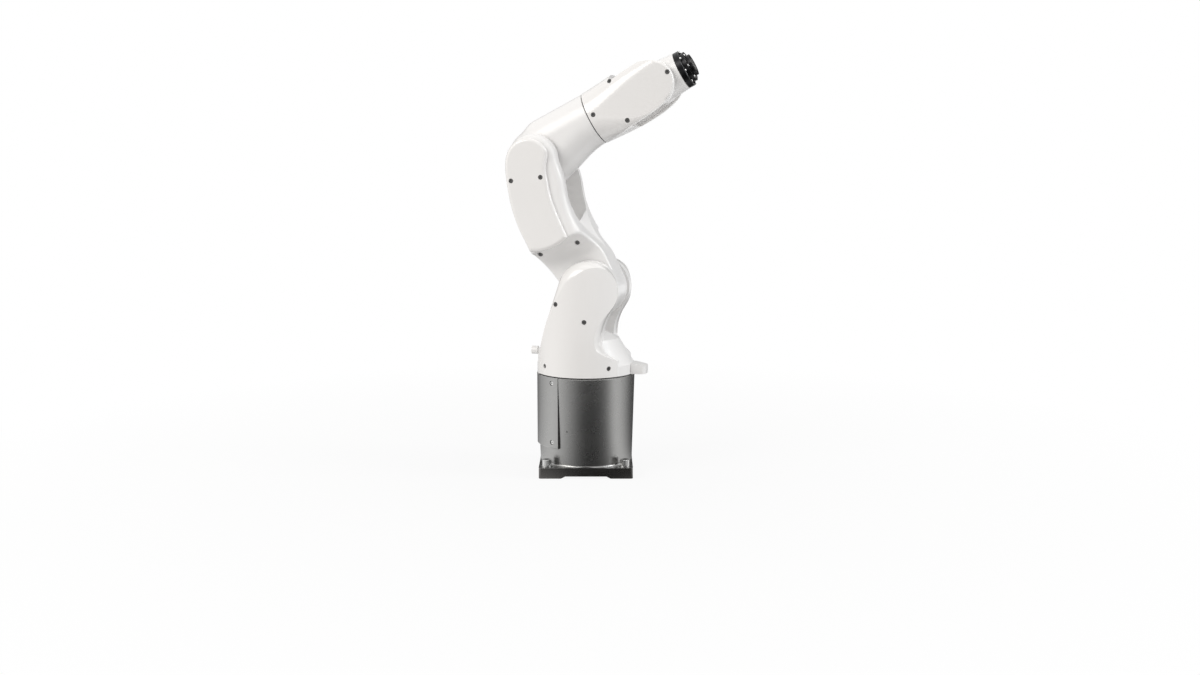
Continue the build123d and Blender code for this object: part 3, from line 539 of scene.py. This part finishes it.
# Waist ring: the dark lip seal that shows as a thin line between the base and the column, like the other
# seals and bearings of the arm. Black rubber.
seal_rubber, tree, skin = new_finish("seal_rubber", Specular_IOR_Level=0.3)
peel = place_group(tree, sprayed_skin, Peel_size=500.0, Gloss_low=0.5, Gloss_high=0.7)
feed(tree, skin.inputs["Roughness"], peel.outputs["Roughness"])
dust = place_group(tree, settled_dust, Amount=0.3)
rubber_tone = blend_colours(
    tree, dust.outputs["Mask"], (0.018, 0.018, 0.019, 1), (0.12, 0.115, 0.11, 1)
)
feed(tree, skin.inputs["Base Color"], rubber_tone)
add_bump(tree, skin, peel.outputs["Height"], distance=0.0001, strength=0.4)
for seal in (
    "waist_ring", "shoulder_bearing_right", "shoulder_bearing_left", "elbow_bearing_right",
    "elbow_bearing_left", "wrist_roll_ring", "wrist_pivot_right", "wrist_pivot_left",
):
    nodes[seal].material_slots[0].material = seal_rubber


# Column: the white casting that turns on the base and carries the shoulder, with its lug and rear fitting.
# Sprayed aluminium, a little less glossy than the plastic covers.
def white_coat(name, colour, shade, gloss_low, gloss_high, coat, peel_size, relief):
    """White paint or plastic with a faint cloud of a second tone, dust and rubbed edges."""
    finish, tree, skin = new_finish(
        name, IOR=1.5, Coat_Weight=coat, Coat_Roughness=0.06, Specular_IOR_Level=0.5
    )
    place = wire(tree, "ShaderNodeTexCoord").outputs["Object"]
    cloud = wire(tree, "ShaderNodeTexNoise", {"Vector": place, "Scale": 9.0, "Detail": 3.0})
    tone = blend_colours(tree, cloud.outputs["Fac"], shade, colour)
    dust = place_group(tree, settled_dust, Amount=0.12, Patch_size=45.0)
    tone = blend_colours(tree, dust.outputs["Mask"], tone, (0.62, 0.6, 0.56, 1))
    wear = place_group(tree, edge_wear, Width=0.0009, Strength=0.35)
    tone = blend_colours(tree, wear.outputs["Mask"], tone, (0.55, 0.55, 0.54, 1))
    feed(tree, skin.inputs["Base Color"], tone)
    peel = place_group(tree, sprayed_skin, Peel_size=peel_size, Gloss_low=gloss_low, Gloss_high=gloss_high)
    feed(tree, skin.inputs["Roughness"], peel.outputs["Roughness"])
    add_bump(tree, skin, peel.outputs["Height"], distance=relief, strength=0.3)
    return finish


arm_spray = white_coat(
    "arm_spray", colour=(0.86, 0.853, 0.843, 1), shade=(0.835, 0.828, 0.82, 1), gloss_low=0.3, gloss_high=0.4,
    coat=0.15, peel_size=650.0, relief=0.00006,
)
for casting in ("column_frame", "column_front_lug", "column_rear_stub"):
    nodes[casting].material_slots[0].material = arm_spray

# Column covers: two moulded shells of glossy white plastic, each held by two screws in its face and two
# in its skirt.
cover_plastic = white_coat(
    "cover_plastic", colour=(0.855, 0.842, 0.826, 1), shade=(0.83, 0.818, 0.804, 1), gloss_low=0.17,
    gloss_high=0.24, coat=0.35, peel_size=420.0, relief=0.00004,
)
for shell in ("column_cover_right", "column_cover_left"):
    nodes[shell].material_slots[0].material = cover_plastic
cover_screw_sizes = dict(
    Head_radius=0.0038, Head_height=0.0028, Edge=0.0005, Socket_radius=0.0019, Socket_depth=0.0018
)
waist_angle = -14.5
arm_ahead = level_at(waist_angle)
arm_right = level_at(waist_angle - 90)
arm_up = Vector((0, 0, 1))
skirt_screw_turn = 42
skirt_screw_seat = 0.087
skirt_screw_height = 0.2045
column_spots = []
for side in (1, -1):
    for ahead, up, seat in ((-0.035, 0.3219, 0.0805), (0.02, 0.2911, 0.0846)):
        spot = ahead * arm_ahead + up * arm_up + side * seat * arm_right
        column_spots.append((spot, side * arm_right))
    for turn in (-skirt_screw_turn, skirt_screw_turn):
        out = level_at(waist_angle + turn - 90 * side)
        column_spots.append((skirt_screw_seat * out + skirt_screw_height * arm_up, out))
fit_on_points(
    "column_cover_screws", socket_screws, "column", "cover_plastic", column_spots, black_steel,
    **cover_screw_sizes,
)

# Link arm: one white casting, a hub between the shoulder cheeks that opens into a fork around the elbow. Two
# long glossy lids close the fork's sides, each with two screws in the lid and two below it.
nodes["link_frame"].material_slots[0].material = arm_spray
for lid in ("link_cover_right", "link_cover_left"):
    nodes[lid].material_slots[0].material = cover_plastic
shoulder_forward = 0.02
shoulder_height = 0.345
link_lean = radians(24.5)
link_front = cos(link_lean) * arm_ahead + sin(link_lean) * arm_up
link_along = -sin(link_lean) * arm_ahead + cos(link_lean) * arm_up
shoulder = shoulder_forward * arm_ahead + shoulder_height * arm_up
lid_screws = ((-0.0426, 0.2392, 0.0805), (0.011, 0.2223, 0.0805))
valley_screws = ((-0.0568, 0.0975, 0.0507), (0.0142, 0.0897, 0.0408))
link_spots = []
for side in (1, -1):
    for front, along, seat in lid_screws + valley_screws:
        spot = shoulder + front * link_front + along * link_along + side * seat * arm_right
        link_spots.append((spot, side * arm_right))
fit_on_points(
    "link_cover_screws", socket_screws, "link", "cover_plastic", link_spots, black_steel,
    **cover_screw_sizes,
)

# Forearm: a white casting, a drum on the elbow axis that runs out into a round tube.
nodes["forearm_housing"].material_slots[0].material = arm_spray

# Wrist: a white casting that rolls on the end of the forearm, closed by two glossy shells with four screws
# each.
nodes["wrist_housing"].material_slots[0].material = arm_spray
for shell in ("wrist_cover_right", "wrist_cover_left"):
    nodes[shell].material_slots[0].material = cover_plastic
link_length = 0.26
elbow_rise = 0.02
forearm_rise = radians(27.3)
forearm_along = cos(forearm_rise) * arm_ahead + sin(forearm_rise) * arm_up
forearm_over = -sin(forearm_rise) * arm_ahead + cos(forearm_rise) * arm_up
forearm_root = shoulder + link_length * link_along + elbow_rise * forearm_over
shell_screws = (
    (0.1911, 0.041, 0.03312), (0.2938, 0.004, 0.04512), (0.1911, -0.038, 0.04512), (0.13975, 0.0, 0.04656),
)
wrist_spots = []
for side in (1, -1):
    for along, over, seat in shell_screws:
        spot = forearm_root + along * forearm_along + over * forearm_over + side * seat * arm_right
        wrist_spots.append((spot, side * arm_right))
fit_on_points(
    "wrist_cover_screws", socket_screws, "wrist", "cover_plastic", wrist_spots, black_steel,
    **cover_screw_sizes,
)

# Hand: the white casting that tilts between the wrist's cheeks.
nodes["hand_housing"].material_slots[0].material = arm_spray

# Tool flange: a black clamp ring, a step and the bolting face, turned from steel and blackened. The rings
# left by the lathe run around the flange's axis, and the rim of the pilot bore is bare.
lathe_rings = 9000.0
flange_black, tree, skin = new_finish("flange_black", Metallic=0.75)
place = wire(tree, "ShaderNodeTexCoord").outputs["Object"]
flange_turn = Matrix((forearm_over, arm_right, forearm_along)).to_4x4()
flange_axis = wire(
    tree,
    "ShaderNodeMapping",
    {"Vector": place, "Rotation": flange_turn.to_euler(), "Location": -(flange_turn @ forearm_root)},
)
radial = wire(tree, "ShaderNodeVectorMath", {0: flange_axis.outputs[0], 1: (1, 1, 0)}, "MULTIPLY")
radius = wire(tree, "ShaderNodeVectorMath", {0: radial.outputs[0]}, "LENGTH").outputs["Value"]
lathe_wave = combine(tree, "SINE", combine(tree, "MULTIPLY", radius, lathe_rings))
bare = wire(
    tree,
    "ShaderNodeMapRange",
    {"Value": radius, "From Min": 0.0114, "From Max": 0.0106, "To Min": 0.0, "To Max": 1.0},
)
wear = place_group(tree, edge_wear, Width=0.0008, Strength=1.1)
blacking = blend_colours(tree, wear.outputs["Mask"], (0.012, 0.012, 0.013, 1), (0.3, 0.3, 0.3, 1))
blacking = blend_colours(tree, bare.outputs[0], blacking, (0.45, 0.45, 0.44, 1))
feed(tree, skin.inputs["Base Color"], blacking)
peel = place_group(tree, sprayed_skin, Peel_size=900.0, Gloss_low=0.26, Gloss_high=0.4)
feed(tree, skin.inputs["Roughness"], peel.outputs["Roughness"])
add_bump(tree, skin, lathe_wave, distance=0.00002, strength=0.4)
for ring in ("flange_ring", "flange_step", "tool_flange"):
    nodes[ring].material_slots[0].material = flange_black

# Flange screws: bright socket screws around the clamp ring and the step.
screw_circles = ((8, 0.031, 0.3213, 12.0), (6, 0.0238, 0.3283, 30.0))
flange_spots = []
for count, circle_radius, along, start in screw_circles:
    for number in range(count):
        turn = radians(start + 360 * number / count)
        out = cos(turn) * forearm_over + sin(turn) * arm_right
        flange_spots.append((forearm_root + along * forearm_along + circle_radius * out, forearm_along))
fit_on_points(
    "flange_screws", socket_screws, "flange", "flange_black", flange_spots, zinc_steel,
    Head_radius=0.0024, Head_height=0.0018, Edge=0.0003, Socket_radius=0.0012, Socket_depth=0.001,
)
